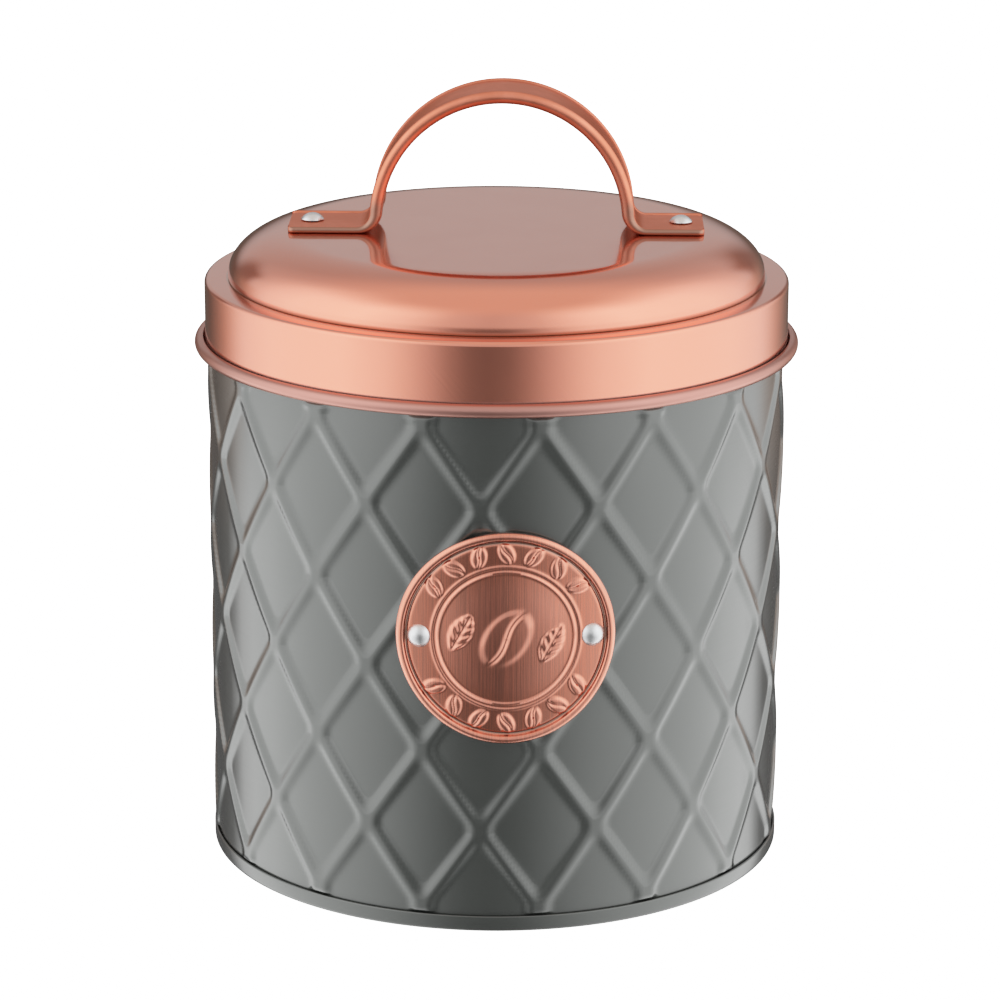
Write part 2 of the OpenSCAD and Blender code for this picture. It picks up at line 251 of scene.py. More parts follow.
def revolve(section, columns, axis=None):
    """A section of (radius, height) points turned about the axis: x = r sin a, y = -r cos a, z = h.
    axis, if given, is a matrix that places the turned shape."""
    a = np.arange(columns) / columns * 2 * math.pi
    r = section[:, 0, None]
    h = np.broadcast_to(section[:, 1, None], (len(section), columns))
    points = np.stack([r * np.sin(a), -r * np.cos(a), h], -1)
    if axis is not None:
        points = points @ np.array(axis)[:3, :3].T + np.array(axis)[:3, 3]
    return points


def turned_piece(name, section, columns, sharp=40):
    """A turned solid whose section starts and ends on the axis; the ends close as poles."""
    poles = [(0, 0, section[0, 1]), (0, 0, section[-1, 1])]
    return make_mesh(name, revolve(section[1:-1], columns), poles=poles, sharp=sharp)


# ---- Body ----

def ridge_height(a, z):
    """Height of the embossing, 0 to 1. With u along the columns and v down the rows, the ridges are
    the lines where (u + v) / 2 or (u - v) / 2 is whole. The distance to the nearest line of each
    family is blended by a smooth minimum, which rounds the cells' corners, and the height falls
    from crest to cell on half a cosine."""
    u = (a - LATTICE_TURN) / HALF_COLUMN
    v = (TOP_ROW_Z - z) / ROW_PITCH
    column_w = TIN_R * HALF_COLUMN
    spacing = 2 * column_w * ROW_PITCH / math.hypot(column_w, ROW_PITCH)
    near_p = np.abs((u + v) / 2 - np.round((u + v) / 2)) * spacing
    near_q = np.abs((u - v) / 2 - np.round((u - v) / 2)) * spacing
    blend = np.maximum(CORNER_BLEND - np.abs(near_p - near_q), 0) ** 2 / (4 * CORNER_BLEND)
    distance = np.minimum(near_p, near_q) - blend
    fall = np.clip((distance - RIDGE_CREST) / RIDGE_SLOPE, 0, 1)
    return (1 + np.cos(math.pi * fall)) / 2


def body_mesh():
    """The wall as one closed sheet: up the outside over the lattice and the neck, round the inward
    curl at the rim, and down the bore. The lattice's rows and columns of points pass through the
    crossings. The back has a plain strip with a folded seam."""
    columns = 2 * DIAMONDS * GRID_PER_COLUMN
    a = LATTICE_TURN + np.arange(columns) * HALF_COLUMN / GRID_PER_COLUMN
    step = ROW_PITCH / GRID_PER_COLUMN
    first = math.ceil((TOP_ROW_Z - LATTICE_HIGH) / step)
    last = math.floor((TOP_ROW_Z - LATTICE_LOW) / step)
    z = TOP_ROW_Z - np.arange(last, first - 1, -1)[:, None] * step
    from_back = (np.mod(a, 2 * math.pi) - math.pi) * CELL_R
    plain = 1 - smooth_step((np.abs(from_back) - STRIP_HALF_W + STRIP_EDGE) / STRIP_EDGE)
    fold = 1 - smooth_step((np.abs(from_back) - FOLD_HALF_W) / FOLD_EDGE)
    height = RIDGE_H * ridge_height(a[None], z) * (1 - plain) + FOLD_H * fold
    curl_centre = (CELL_R - CURL_R, RIM_Z - CURL_R)
    foot = np.array([[CELL_R, wall_low.z], [CELL_R, 2 * MM], [CELL_R, LATTICE_LOW]])
    neck = np.array([[CELL_R, LATTICE_HIGH], [CELL_R, LATTICE_HIGH + 3 * MM]])
    outside = arc(curl_centre, (CURL_R, CURL_R), 0, 270, 14)
    inside = arc(curl_centre, (CURL_R - SHEET, CURL_R - SHEET), 270, 0, 8)
    bore_z = np.linspace(RIM_Z - 3 * MM, wall_low.z, 6)
    bore = np.stack([np.full(6, BORE_R), bore_z], 1)
    lattice_r = CELL_R + height
    lattice = np.stack([lattice_r * np.sin(a), -lattice_r * np.cos(a), z + 0 * lattice_r], -1)

    def ring(section):
        """A section turned on the lattice's own columns."""
        points = revolve(section, columns)
        turned = Matrix.Rotation(LATTICE_TURN, 3, "Z")
        return points @ np.array(turned).T

    parts = [ring(foot), lattice, ring(np.concatenate([neck, outside, inside, bore]))]
    return make_mesh("tin_body", np.concatenate(parts), wrap_rows=True, sharp=60)


def base_mesh():
    """The base turned from one section: the panel and its step, the channel that grips the wall's
    edge, and the rounded foot band outside it."""
    channel_in = BORE_R - CHANNEL_GAP
    channel_out = CELL_R + CHANNEL_GAP
    band_r = channel_out + SHEET
    panel_r = channel_in - SHEET
    step_r = panel_r - PANEL_RING_W
    under = BASE_RECESS
    raised = under + PANEL_STEP_H
    foot = rounded([
        (0, raised), (step_r, raised), (step_r + SHEET, under), (panel_r, under),
        (panel_r, 0), (band_r, 0), (band_r, FOOT_BAND_H), (channel_out, FOOT_BAND_H),
        (channel_out, SHEET), (channel_in, SHEET), (channel_in, under + SHEET),
        (step_r + SHEET, under + SHEET), (step_r, raised + SHEET), (0, raised + SHEET)],
        BASE_FILLET, 5)
    return turned_piece("tin_base", foot, 320)


# ---- Lid ----

def lid_mesh():
    """The lid's sheet turned from one section: flat top, quarter-ellipse shoulder tucked in at its
    foot, flat shelf, rounded corner, skirt, and a bead that curls outwards; then back inside."""
    shoulder = (FLAT_TOP_R, SHELF_Z)
    corner = (SKIRT_R - SHELF_ROUND, SHELF_Z - SHELF_ROUND)
    bead = (SKIRT_IN_R + BEAD_R, BEAD_Z)
    flat = np.array([[0, FLAT_TOP_Z], [FLAT_TOP_R / 2, FLAT_TOP_Z], [FLAT_TOP_R - MM, FLAT_TOP_Z]])
    tuck = (SHOULDER_R - TUCK_W, SHELF_Z + TUCK_H)
    under_flat = flat[::-1] - [0, SHEET]
    section = np.concatenate([
        flat,
        arc((FLAT_TOP_R, tuck[1]), (SHOULDER_W, SHOULDER_H - TUCK_H), 90, 0, 28),
        arc(tuck, (TUCK_W, TUCK_H), 0, -90, 6)[1:],
        arc(corner, (SHELF_ROUND, SHELF_ROUND), 90, 0, 8),
        arc(bead, (BEAD_R - SHEET, BEAD_R - SHEET), 180, BEAD_END, 22),
        arc(bead, (BEAD_R, BEAD_R), BEAD_END, 180, 30),
        arc(corner, (SHELF_ROUND - SHEET, SHELF_ROUND - SHEET), 0, 90, 4),
        [[SHOULDER_R - SHEET, SHELF_Z - SHEET]],
        arc(shoulder, (SHOULDER_W - SHEET, SHOULDER_H - SHEET), 0, 90, 16),
        under_flat])
    return turned_piece("lid", section, 384)


def seal_mesh():
    """The seal: a rounded rectangular ring with two shallow grooves on its underside."""
    outer = seal_high.x
    inner = outer - SEAL_W
    low, high = seal_low.z, seal_high.z
    line = [(inner, low), (inner, high), (outer, high), (outer, low)]
    for middle in (outer - SEAL_W / 3, outer - SEAL_W * 2 / 3):
        line += [(middle + SEAL_GROOVE, low), (middle, low + SEAL_GROOVE),
                 (middle - SEAL_GROOVE, low)]
    section = rounded(line, 0.3 * MM, 4, closed=True)
    return make_mesh("seal_ring", revolve(section, 256), wrap_rows=True)


# ---- Handle ----

def handle_mesh():
    """The strap as a section carried along a path. The upper and lower faces are each a foot line,
    a bend and a half arch, mirrored; the section stands between them. It has round rolled edges
    and a thinner web, and flattens into ribbed feet with rounded corners."""
    corner = FOOT_CORNER_R

    def half_face(arch_r, bend_r, floor_z, reach):
        """A face from the end of its foot, this far out, to the top of the arch."""
        bend_z = floor_z + bend_r
        bend_x = math.sqrt((arch_r + bend_r) ** 2 - (bend_z - ARCH_Z) ** 2)
        lean = math.degrees(math.atan2(bend_z - ARCH_Z, bend_x))
        ease = corner * (1 - np.cos(np.linspace(0, math.pi / 2, 7)))
        near_end = reach - ease
        rest = np.linspace(near_end[-1], bend_x, 9)[1:]
        x = np.concatenate([near_end, rest])
        foot = np.stack([x, np.full(len(x), floor_z)], 1)
        bend = arc((bend_x, bend_z), (bend_r, bend_r), 270, 180 + lean, 12)
        arch = arc((0, ARCH_Z), (arch_r, arch_r), lean, 90, 44)
        return np.concatenate([foot, bend[1:], arch[1:]])

    def face(arch_r, bend_r, floor_z):
        """A whole face, from the end of the right foot to the end of the left one."""
        right = half_face(arch_r, bend_r, floor_z, STRAP_HALF_L - ARCH_SHIFT)
        left = half_face(arch_r, bend_r, floor_z, STRAP_HALF_L + ARCH_SHIFT)
        return np.concatenate([right, (left * [-1, 1])[-2::-1]])

    upper = face(ARCH_OUT_R, UPPER_BEND_R, FLAT_TOP_Z + FOOT_T)
    lower = face(ARCH_IN_R, UNDER_BEND_R, FLAT_TOP_Z)
    middle = (upper + lower) / 2
    across = (upper - lower) / 2
    half_t = np.hypot(*across.T)[:, None]
    across = across / half_t
    above_lid = middle[:, 1, None] - FLAT_TOP_Z
    arched = smooth_step((above_lid - ARCH_START_H) / (ARCH_FULL_H - ARCH_START_H))
    from_end = STRAP_HALF_L - np.abs(middle[:, 0, None] + ARCH_SHIFT)
    inset = np.where(arched > 0, 0, np.maximum(corner - from_end, 0))
    width = STRAP_HALF_W - corner + np.sqrt(np.maximum(corner ** 2 - inset ** 2, 0))
    turn = np.radians(np.linspace(0, 90, 8))[None]
    edge = half_t * (1 - np.cos(turn))
    roll = half_t + np.linspace(0, 1, 11)[None, 1:] * (WEB_EDGE_IN - half_t)
    web = WEB_EDGE_IN + np.linspace(0, 1, 7)[None, 1:] * (width - WEB_EDGE_IN)
    inward = np.concatenate([edge, roll, web], 1)
    tube = np.sqrt(np.maximum(half_t ** 2 - (inward - half_t) ** 2, 0))
    web_top = half_t - FOOT_RIB_H - (ARCH_RIB_H - FOOT_RIB_H) * arched
    web_low = half_t - UNDER_RIB_H * arched
    past = smooth_step((inward - half_t) / RIB_FALL_W)
    top = tube * (1 - past) + web_top * past
    bottom = -tube * (1 - past) - web_low * past
    y = width - inward
    loop_y = np.concatenate([y, -y[:, -2::-1], -y[:, 1:], y[:, -2:0:-1]], 1)
    loop_h = np.concatenate([top, top[:, -2::-1], bottom[:, 1:], bottom[:, -2:0:-1]], 1)
    points = np.stack([middle[:, 0, None] + across[:, 0, None] * loop_h + ARCH_SHIFT, loop_y,
                       middle[:, 1, None] + across[:, 1, None] * loop_h], -1)
    points = points @ np.array(Matrix.Rotation(STRAP_TURN, 3, "Z")).T
    points = points + [STRAP_MIDDLE.x, STRAP_MIDDLE.y, 0]
    ends = [points[0].mean(0), points[-1].mean(0)]
    return make_mesh("lid_strap", points, poles=ends)


# ---- Badge ----

def oval(x, z, centre, half_sizes, tilt):
    """Distance-like measure of a tilted ellipse, 1 on its outline, and the place along its length
    and across it, in half sizes."""
    c, s = math.cos(math.radians(tilt)), math.sin(math.radians(tilt))
    dx, dz = x - centre[0], z - centre[1]
    along = (dx * c + dz * s) / half_sizes[0]
    beside = (dz * c - dx * s) / half_sizes[1]
    return np.hypot(along, beside), along, beside


def bean(x, z, centre, half_sizes, tilt, relief, crease):
    """A coffee bean in relief: a low dome with a steep edge and an S-shaped crease along it."""
    out, along, beside = oval(x, z, centre, half_sizes, tilt)
    dome = smooth_step((1.04 - out) / 0.3) * (0.75 + 0.25 * np.clip(1 - out, 0, 1))
    bow = 0.16 * np.sin(along * math.pi)
    cut = np.exp(-(((beside - bow) * half_sizes[1]) / crease) ** 2)
    return relief * dome * (1 - 0.95 * cut)


def leaf(x, z, centre, half_sizes, tilt, relief):
    """A leaf in relief: two bowed sides that meet in points, with a midrib and side veins."""
    _, along, beside = oval(x, z, centre, half_sizes, tilt)
    side = np.abs(beside) - (1 - along ** 2)
    body = smooth_step(-side / 0.3) * (np.abs(along) < 1)
    rib = np.exp(-(beside * half_sizes[1] / (0.3 * MM)) ** 2)
    veins = 0.5 + 0.5 * np.cos((along - np.abs(beside) * 0.5) * 16)
    return relief * body * (0.55 + 0.45 * veins * (1 - rib)) * (1 - 0.8 * rib)


def badge_relief(x, z):
    """Height of the badge's face above its plate: a rolled rim with a groove inside it, a
    double-edged ring round a slightly domed middle, seven small beans along each arc, and a bean
    between two leaves."""
    rho = np.hypot(x, z)
    from_rim = (rho - (BADGE_R - RIM_HALF_W)) / RIM_HALF_W
    height = BADGE_RIM_H * np.sqrt(np.maximum(1 - from_rim ** 2, 0))
    height -= RIM_GROOVE_H * np.exp(-((rho - BADGE_R + RIM_GROOVE_IN) / RIM_GROOVE_W) ** 2)
    for ring_r in RING_RADII:
        height += RING_H * np.exp(-((rho - ring_r) / RING_W) ** 2)
    for i in range(-3, 4):
        for base in (0, 180):
            a = math.radians(base + BEAN_STEP * i)
            spot = (BEAN_ARC_R * math.sin(a), BEAN_ARC_R * math.cos(a))
            lean = -math.degrees(a) + (BEAN_LEAN if i % 2 else -BEAN_LEAN)
            height += bean(x, z, spot, SMALL_BEAN, lean, SMALL_BEAN_H, SMALL_CREASE)
    height += DOME_H * np.maximum(1 - (rho / DOME_R) ** 2, 0)
    height += bean(x, z, (0, 0), BIG_BEAN, BIG_LEAN, BIG_BEAN_H, BIG_CREASE)
    for side in (-1, 1):
        spot = (side * LEAF_X, -side * LEAF_Z)
        height += leaf(x, z, spot, LEAF, LEAF_LEAN, LEAF_H)
    return height


def badge_mesh():
    """The badge on rings about its middle. Its face stands outside the tin's curve by the plate and
    the relief, y = -sqrt(r^2 - x^2); its edge rounds over, and its back follows the ridges."""
    columns = 480
    inner = np.linspace(0.3, 20, 68) * MM
    outer = np.linspace(20.15 * MM, BADGE_R - 0.12 * MM, 16)
    a = np.arange(columns) / columns * 2 * math.pi
    rho = np.concatenate([inner, outer])[:, None]

    def on_curve(rho, lift):
        """Rings of these radii, lifted off the plate's face by this much or by the relief."""
        x = rho * np.sin(a)
        z = rho * np.cos(a)
        r = BADGE_FACE_R + (badge_relief(x, z) if lift is None else lift)
        return np.stack([x, -np.sqrt(r ** 2 - x ** 2), z + BADGE_Z + 0 * r], -1)

    edge_rho = np.full((3, 1), BADGE_R)
    edge_lift = np.array([[0.35], [0.0], [-0.45]]) * MM
    back_rho = np.array([[BADGE_R - 0.15 * MM], [BADGE_R / 2], [0.5 * MM]])
    back_lift = np.full((3, 1), BADGE_BACK_R - BADGE_FACE_R)
    points = np.concatenate([on_curve(rho, None), on_curve(edge_rho, edge_lift + 0 * a),
                             on_curve(back_rho, back_lift + 0 * a)])
    crown = -BADGE_FACE_R - badge_relief(np.zeros(1), np.zeros(1))[0]
    poles = [(0, crown, BADGE_Z), (0, -BADGE_BACK_R, BADGE_Z)]
    return make_mesh("badge_plate", points, poles=poles, sharp=75)


# ---- Rivets ----

def rivet_mesh(name, axis, grip):
    """A rivet turned about its axis: a domed head on height 0, its shank, and a flattened tail."""
    dome_r = (RIVET_HEAD_R ** 2 + RIVET_HEAD_H ** 2) / (2 * RIVET_HEAD_H)
    brim = math.degrees(math.asin((dome_r - RIVET_HEAD_H) / dome_r))
    head = arc((0, RIVET_HEAD_H - dome_r), (dome_r, dome_r), 90, brim + 3, 14)
    rest = rounded([head[-1], (RIVET_HEAD_R, 0), (RIVET_SHANK_R, 0), (RIVET_SHANK_R, -grip),
                    (RIVET_TAIL_R, -grip), (RIVET_TAIL_R, -grip - RIVET_TAIL_H),
                    (0, -grip - RIVET_TAIL_H)], 0.3 * MM)
    section = np.concatenate([head[1:], rest[1:-1]])
    points = revolve(section, 64, axis)
    place = np.array(axis)
    top = place[:3, :3] @ (0, 0, RIVET_HEAD_H) + place[:3, 3]
    tail = place[:3, :3] @ (0, 0, -grip - RIVET_TAIL_H) + place[:3, 3]
    return make_mesh(name, points, poles=[top, tail], sharp=50)


# ---- Finishes ----

class Shade:
    """One socket of a shader. Arithmetic on it adds Math nodes, and node() adds any other node."""

    def __init__(self, tree, socket=None):
        self.tree = tree
        self.socket = socket

    def node(self, kind, inputs=(), settings=(), out=0):
        """Adds a node: its settings, then the value or the link of each named or numbered socket."""
        made = self.tree.nodes.new("ShaderNode" + kind)
        for key, value in dict(settings).items():
            if key != "stops":
                setattr(made, key, value)
                continue
            ramp = made.color_ramp
            while len(ramp.elements) < len(value):
                ramp.elements.new(1)
            for element, (position, level) in zip(ramp.elements, value):
                element.position = position
                element.color = (level, level, level, 1)
        for key, value in dict(inputs).items():
            if isinstance(value, Shade):
                self.tree.links.new(value.socket, made.inputs[key])
            else:
                made.inputs[key].default_value = value
        return Shade(self.tree, made.outputs[out] if made.outputs else None)

    def also(self, out):
        """Another output of the same node."""
        return Shade(self.tree, self.socket.node.outputs[out])

    def math(self, operation, *values):
        """A Math node of these values."""
        return self.node("Math", dict(enumerate(values)), {"operation": operation})

    def __add__(self, other):
        return self.math("ADD", self, other)

    def __mul__(self, other):
        return self.math("MULTIPLY", self, other)

    def __sub__(self, other):
        return self.math("SUBTRACT", self, other)

    def __rsub__(self, other):
        return self.math("SUBTRACT", other, self)

    __radd__ = __add__
    __rmul__ = __mul__

    def absolute(self):
        """The value without its sign."""
        return self.math("ABSOLUTE", self)

    def larger(self, other):
        """The larger of the two values."""
        return self.math("MAXIMUM", self, other)

    def hypot(self, other):
        """The length of a line that goes this far one way and the other value across it."""
        squares = self * self + other * other
        return squares.math("SQRT", squares)

    def ramp(self, low, high, start=0.0, end=1.0):
        """Smoothly from start to end as the value goes from low to high."""
        inputs = {"Value": self, "From Min": low, "From Max": high, "To Min": start, "To Max": end}
        return self.node("MapRange", inputs, {"interpolation_type": "SMOOTHSTEP"})

    def stretched(self, scales):
        """A place times its own scale along each axis."""
        return self.node("VectorMath", {0: self, 1: scales}, {"operation": "MULTIPLY"})

    def noise(self, scales, detail=2.0, rough=0.5):
        """Noise, 0 to 1, with so many features a metre along each axis."""
        inputs = {"Vector": self.stretched(scales), "Scale": 1.0, "Detail": detail,
                  "Roughness": rough}
        return self.node("TexNoise", inputs, out="Fac")

    def blend(self, first, second):
        """The first colour where the mask is 0, the second where it is 1."""
        return self.node("Mix", {0: self, 6: first, 7: second}, {"data_type": "RGBA"}, 2)

    def tinted(self, level):
        """This colour times a level."""
        return self.node("VectorMath", {0: self, 1: level}, {"operation": "MULTIPLY"})

    def bump(self, distance, strength):
        """The normal over a relief of this height times the distance, in metres."""
        return self.node("Bump", {"Height": self, "Distance": distance, "Strength": strength})


def finish(name, build):
    """A material: build gets the object's own place and returns the surface shader."""
    material = bpy.data.materials.new(name)
    material.use_nodes = True
    tree = material.node_tree
    tree.nodes.clear()
    place = Shade(tree).node("TexCoord", out="Object")
    surface = build(place)
    place.node("OutputMaterial", {"Surface": surface})
    return material


def from_axis(place):
    """Distance from the tin's axis, and the height above the table."""
    x = place.node("SeparateXYZ", {"Vector": place})
    y, z = x.also(1), x.also(2)
    return x.hypot(y), z


def painted_steel(place):
    """Glossy grey-green paint with a metallic sheen and a fine grain round the body, and bare
    satin steel inside."""
    radius, _ = from_axis(place)
    inside = radius.ramp(BORE_R + 0.05 * MM, BORE_R + 0.15 * MM, 1, 0)
    grain = place.noise((60, 60, 5200), 3, 0.6)
    cloud = place.noise((25, 25, 40), 3)
    paint = cloud.blend((0.064, 0.070, 0.065, 1), (0.072, 0.078, 0.073, 1))
    colour = inside.blend(paint, (0.42, 0.42, 0.40, 1))
    rough = grain.ramp(0.2, 0.8, 0.34, 0.42)
    metal = inside.ramp(0, 1, 0.85, 1)
    return place.node("BsdfPrincipled", {
        "Base Color": colour, "Metallic": metal, "Roughness": rough, "Anisotropic": 0.6,
        "Anisotropic Rotation": 0.25, "Coat Weight": 1.0, "Coat IOR": 1.75,
        "Coat Roughness": 0.06, "Normal": grain.bump(0.00002, 0.2)})


# Copper where it is polished, darker or brown, and its tint where a face is seen edge on
COPPER = (0.87, 0.29, 0.19, 1)
DARKER_COPPER = (0.74, 0.225, 0.135, 1)
# Brown: painted shade on the strap and in the badge's grooves, and the badge's grain streaks
PAINTED_SHADE_AND_STREAK_BROWN = (0.36, 0.19, 0.14, 1)
# Painted shade in the crease at the foot of the lid's shoulder
CREASE_SHADE_COPPER = (0.50, 0.24, 0.17, 1)
BEAD_COPPER = (0.50, 0.24, 0.20, 1)
COPPER_EDGE_ON = (1, 0.8, 0.72, 1)
STRAP_EDGE_ON = (1, 0.62, 0.5, 1)


def copper(shade, colour, rough, normal, gloss=1.0, edge_on=COPPER_EDGE_ON):
    """Polished copper under a clear lacquer. It keeps some of its colour seen edge on."""
    return shade.node("BsdfPrincipled", {
        "Base Color": colour, "Metallic": 1.0, "Roughness": rough, "Normal": normal,
        "Specular Tint": edge_on, "Coat Weight": gloss, "Coat IOR": 1.5,
        "Coat Roughness": 0.06})


def lid_copper(place):
    """Polished copper with faint spinning lines round the lid and fine slanting rub marks on it.
    The bead is bare, pinker and duller, and the groove at the shoulder's foot has painted shade."""
    radius, z = from_axis(place)
    spin = place.noise((40, 40, 2600), 2)
    rubs = place.node("Mapping", {"Vector": place, "Rotation": (0, 0.7, 0)}).noise(
        (4200, 90, 90), 2, 0.6)
    stain = place.noise((60, 60, 60), 4, 0.6)
    rough = stain.ramp(0.3, 0.75, 0.13, 0.2)
    bare = z.ramp(BEAD_Z + 1.5 * MM, BEAD_Z + 1.7 * MM, 1, 0)
    rough = bare * 0.2 + rough
    near_shelf = z.ramp(SHELF_Z + 0.5 * MM, SHELF_Z + 0.9 * MM, 1, 0)
    # Painted shade: the crease at the shoulder's foot is coloured brown
    groove = (radius - SHOULDER_R).absolute().ramp(0.15 * MM, 0.5 * MM, 1, 0) * near_shelf
    colour = groove.blend(COPPER, CREASE_SHADE_COPPER)
    colour = bare.blend(colour, BEAD_COPPER)
    normal = (spin * 0.4 + rubs).bump(0.00002, 0.4)
    return copper(place, colour, rough, normal, 1 - bare * 0.6)


def strap_painted_shade(x, y, z):
    """Painted shade on the strap, 0 to 1: brown inside the arch, on the undersides of the bends and
    of the feet, and on the long edges low down."""
    beside = x - (STRAP_MIDDLE.x + ARCH_SHIFT)
    across = y - STRAP_MIDDLE.y - beside * math.tan(STRAP_TURN)
    edge = across.absolute().ramp(STRAP_HALF_W - 0.9 * MM, STRAP_HALF_W - 0.3 * MM)
    edge = edge * z.ramp(FLAT_TOP_Z + 5 * MM, FLAT_TOP_Z + 9 * MM, 1, 0)
    inside = beside.hypot(z - ARCH_Z).ramp(ARCH_IN_R + 0.3 * MM, ARCH_IN_R + 1.1 * MM, 1, 0)
    outward = beside.absolute() - BEND_X
    from_bend = outward.hypot(z - FLAT_TOP_Z - UNDER_BEND_R)
    bent = from_bend.ramp(UNDER_BEND_R - 0.9 * MM, UNDER_BEND_R - 0.3 * MM)
    bent = bent * outward.ramp(-0.1 * MM, 0.1 * MM, 1, 0)
    bent = bent * z.ramp(FLAT_TOP_Z + 5 * MM, FLAT_TOP_Z + 7 * MM, 1, 0)
    under = z.ramp(FLAT_TOP_Z + 0.1 * MM, FLAT_TOP_Z + 0.4 * MM, 1, 0)
    return inside.larger(under.larger(bent).larger(edge))


def handle_copper(place):
    """Rolled copper strap: fine grain along its length, and a duller sheen than the lid's."""
    x = place.node("SeparateXYZ", {"Vector": place})
    grain = place.noise((40, 5200, 40), 3, 0.6)
    lines = place.noise((40, 1100, 40), 2)
    stain = place.noise((120, 120, 120), 4, 0.6)
    colour = stain.ramp(0.3, 0.6, 0.2).blend(COPPER, DARKER_COPPER)
    # Painted shade: brown inside the arch, under the bends and feet, and along the feet's low edges
    colour = strap_painted_shade(x, x.also(1), x.also(2)).blend(colour, PAINTED_SHADE_AND_STREAK_BROWN)
    rough = grain.ramp(0.2, 0.8, 0.3, 0.4)
    normal = (grain + lines).bump(0.00003, 0.5)
    return copper(place, colour, rough, normal, 0.2, STRAP_EDGE_ON)


def badge_copper(place):
    """Badge copper with a fine upright grain of browner streaks, darker in its low parts, and brown
    painted shade in its grooves."""
    radius, _ = from_axis(place)
    grain = place.noise((5200, 60, 60), 3, 0.6)
    low = radius.ramp(BADGE_FACE_R - 0.1 * MM, BADGE_FACE_R + 0.25 * MM, 1, 0)
    colour = low.blend(COPPER, DARKER_COPPER)
    # Painted shade: the grooves and the edge are coloured brown
    groove = radius.ramp(BADGE_FACE_R - 0.18 * MM, BADGE_FACE_R - 0.04 * MM, 1, 0)
    colour = groove.blend(colour, PAINTED_SHADE_AND_STREAK_BROWN)
    streak = grain.ramp(0.42, 0.6, 0.35, 0)
    colour = streak.blend(colour, PAINTED_SHADE_AND_STREAK_BROWN)
    rough = grain.ramp(0.2, 0.8, 0.16, 0.27)
    return copper(place, colour, rough, grain.bump(0.00004, 0.45))


def rivet_aluminium(place):
    """Dull aluminium with small dents."""
    dents = place.noise((900, 900, 900), 3)
    rough = dents.ramp(0.3, 0.7, 0.3, 0.45)
    return place.node("BsdfPrincipled", {
        "Base Color": (0.70, 0.71, 0.72, 1), "Metallic": 1.0, "Roughness": rough,
        "Normal": dents.bump(0.00005, 0.4)})


def seal_silicone(place):
    """Milky silicone rubber."""
    dust = place.noise((400, 400, 400), 3)
    colour = dust.blend((0.66, 0.65, 0.60, 1), (0.74, 0.73, 0.69, 1))
    return place.node("BsdfPrincipled", {
        "Base Color": colour, "Roughness": 0.5, "Subsurface Weight": 0.1,
        "Normal": dust.bump(0.00005, 0.3)})


# ---- Pieces ----

paint = finish("body_paint", painted_steel)
lid_finish = finish("lid_copper", lid_copper)
handle_finish = finish("handle_copper", handle_copper)
badge_finish = finish("badge_copper", badge_copper)
rivet_finish = finish("rivet_aluminium", rivet_aluminium)
seal_finish = finish("seal_silicone", seal_silicone)

make_piece("tin_body", body_mesh(), paint, "canister", "body_wall")
make_piece("tin_base", base_mesh(), paint, "canister", "base_pan")
make_piece("badge_plate", badge_mesh(), badge_finish, "canister", "badge")
make_piece("lid", lid_mesh(), lid_finish, "lid", "lid_shell")
make_piece("seal_ring", seal_mesh(), seal_finish, "seal", "lid_seal")
make_piece("lid_strap", handle_mesh(), handle_finish, "lid", "lid_handle")
for side, word, spot in ((-1, "left", STRAP_LEFT), (1, "right", STRAP_RIGHT)):
    seat = rivet_high.z - RIVET_HEAD_H
    upright = Matrix.Translation((spot.x, spot.y, seat))
    grip = seat - rivet_low.z - RIVET_TAIL_H
    mesh = rivet_mesh(f"strap_rivet_{word}", upright, grip)
    make_piece(f"strap_rivet_{word}", mesh, rivet_finish, "lid", f"handle_rivet_{word}")
    turn = side * math.asin(BADGE_RIVET_X / BADGE_FACE_R)
    outward = Matrix.Translation((0, 0, BADGE_Z)) @ Matrix.Rotation(turn, 4, "Z")
    outward = outward @ Matrix.Rotation(math.radians(90), 4, "X")
    outward = outward @ Matrix.Translation((0, 0, BADGE_FACE_R))
    grip = BADGE_FACE_R - BORE_R + 0.04 * MM
    mesh = rivet_mesh(f"badge_rivet_{word}_head", outward, grip)
    make_piece(f"badge_rivet_{word}_head", mesh, rivet_finish, "canister",
               f"badge_rivet_{word}")


# ---- Studio ----

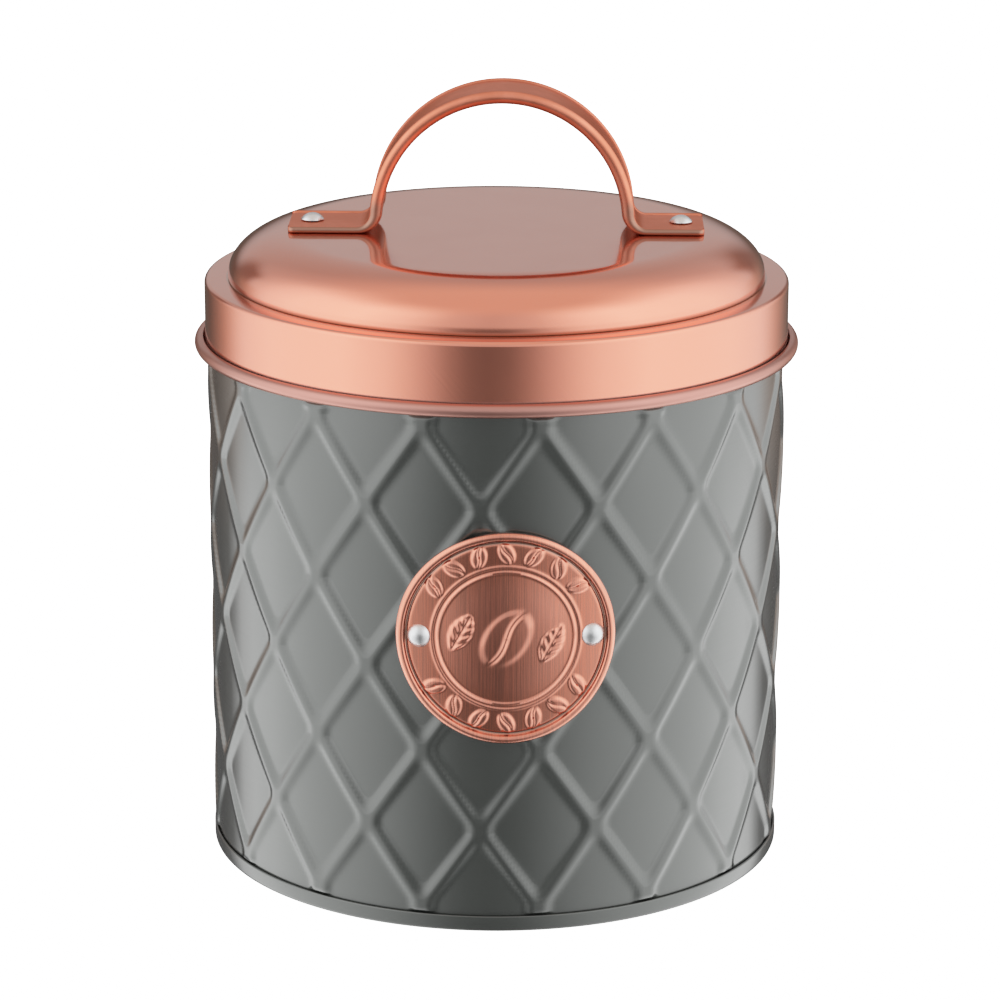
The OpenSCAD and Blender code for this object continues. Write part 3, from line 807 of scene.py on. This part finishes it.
def studio_light():
    """Light by direction: broad pale walls at the sides, dim gaps in front and behind, and a softer,
    warm ceiling. The camera sees plain white. Each band of height (deep, low and high) has its own
    levels, given from the front, 0 degrees, round to the back, 180. The gaps are skewed a little to
    the left in front, and the back corners of the room are dark."""
    world = bpy.data.worlds.new("studio")
    bpy.context.scene.world = world
    world.use_nodes = True
    tree = world.node_tree
    tree.nodes.clear()
    ray = Shade(tree).node("TexCoord", out="Generated")
    x = ray.node("SeparateXYZ", {"Vector": ray})
    y, z = x.also(1), x.also(2)
    skew = math.radians(-5)
    half_turn = 1 / math.pi
    angle = x.math("ARCTAN2", x, 0 - y)
    turn = (angle + y * skew).absolute() * half_turn
    deep_turn = (angle + y.math("MINIMUM", y, 0.0) * skew).absolute() * half_turn
    rise = z.math("ARCSINE", z) * (180 / math.pi)

    def level(place, stops):
        """The level at each place round the room, from pairs of degrees and level."""
        stops = [(degrees / 180, value) for degrees, value in stops]
        return ray.node("ValToRGB", {"Fac": place}, {"stops": stops})

    deep = level(deep_turn, [
        (0, 0.14), (10, 0.19), (16, 0.29), (24, 0.48), (32, 0.7), (40, 0.92), (56, 1.3), (72, 1.65),
        (104, 2.3), (118, 2.15), (127, 1.55), (134, 0.6), (140, 0.16), (150, 0.1), (180, 0.1)])
    low = level(turn, [
        (0, 0.19), (8, 0.24), (16, 0.43), (24, 0.78), (32, 1.15), (42, 1.55), (62, 1.95),
        (100, 1.85), (118, 1.5), (126, 1.15), (132, 0.85), (140, 0.5), (148, 0.28), (158, 0.14),
        (180, 0.1)])
    high = level(turn, [
        (0, 0.78), (20, 1.0), (40, 1.7), (60, 2.1), (100, 1.9), (118, 1.5), (130, 1.0), (142, 0.7),
        (160, 0.55), (180, 0.56)])
    corner = turn.ramp(0.74, 0.79) * turn.ramp(0.84, 0.91, 1, 0) * rise.ramp(18, 28, 1, 0)
    high = corner.blend(high, (0.26, 0.2, 0.18, 1))
    tint = turn.ramp(0.66, 0.78).blend((1, 1, 1, 1), (1, 0.78, 0.66, 1))
    low = tint.tinted(low)
    light = rise.ramp(-17, -14).blend(deep, low)
    light = rise.ramp(0, 12).blend(light, high)
    light = rise.ramp(38, 72).blend(light, (1, 0.88, 0.8, 1))
    seen = ray.node("LightPath", out="Is Camera Ray")
    light = seen.blend(light, (4, 4, 4, 1))
    background = ray.node("Background", {"Color": light, "Strength": 1.0})
    ray.node("OutputWorld", {"Surface": background})


def floor_white(place):
    """A matt white table top, lit a little from below."""
    dust = place.noise((8, 8, 8), 2)
    colour = dust.blend((0.84, 0.84, 0.84, 1), (0.86, 0.86, 0.86, 1))
    return place.node("BsdfPrincipled", {
        "Base Color": colour, "Roughness": 0.9, "Emission Color": (1, 1, 1, 1),
        "Emission Strength": 2.2})


def make_floor():
    """A broad flat table under the tin, left out of its reflections."""
    half = 12.0
    corners = np.array([[-half, -half, 0], [half, -half, 0], [half, half, 0], [-half, half, 0]])
    mesh = bpy.data.meshes.new("table")
    mesh.from_pydata(corners.tolist(), [], [[0, 1, 2, 3]])
    floor = make_piece("table", mesh, finish("table_white", floor_white))
    floor.visible_glossy = False


def make_camera():
    """The camera stands in front, a little to the left, and looks down on the lid."""
    yaw, pitch, roll, about = 0.0011, 0.281, 0.0036, math.radians(-2)
    place = (-0.02815, -0.80603, 0.30866)
    cy, sy, cp, sp = math.cos(yaw), math.sin(yaw), math.cos(pitch), math.sin(pitch)
    right = np.array([cy, -sy, 0])
    forward = np.array([sy * cp, cy * cp, -sp])
    up = np.array([sy * sp, cy * sp, cp])
    right, up = (math.cos(roll) * right + math.sin(roll) * up,
                 math.cos(roll) * up - math.sin(roll) * right)
    turned = np.array(Matrix.Rotation(about, 3, "Z"))
    columns = [turned @ right, turned @ up, turned @ -forward]
    matrix = Matrix([list(row) for row in np.array(columns).T]).to_4x4()
    matrix.translation = place
    data = bpy.data.cameras.new("view")
    data.sensor_width = 36
    data.lens = 137.915
    data.clip_start = 0.01
    data.clip_end = 100
    camera = bpy.data.objects.new("view", data)
    camera.matrix_world = matrix
    bpy.context.scene.collection.objects.link(camera)
    bpy.context.scene.camera = camera


def expose_film():
    """A film response: straight in the shadows, then rolling off to white."""
    view = bpy.context.scene.view_settings
    view.view_transform = "Standard"
    view.use_curve_mapping = True
    response = view.curve_mapping
    response.clip_max_x = 4
    response.clip_max_y = 1
    film = response.curves[3]
    film.points[-1].location = (3, 1)
    for light, shown in ((0.25, 0.25), (0.5, 0.455), (0.8, 0.64), (1.2, 0.8), (1.65, 0.905),
                         (2.3, 0.98)):
        film.points.new(light, shown)
    response.update()


studio_light()
make_floor()
make_camera()
expose_film()
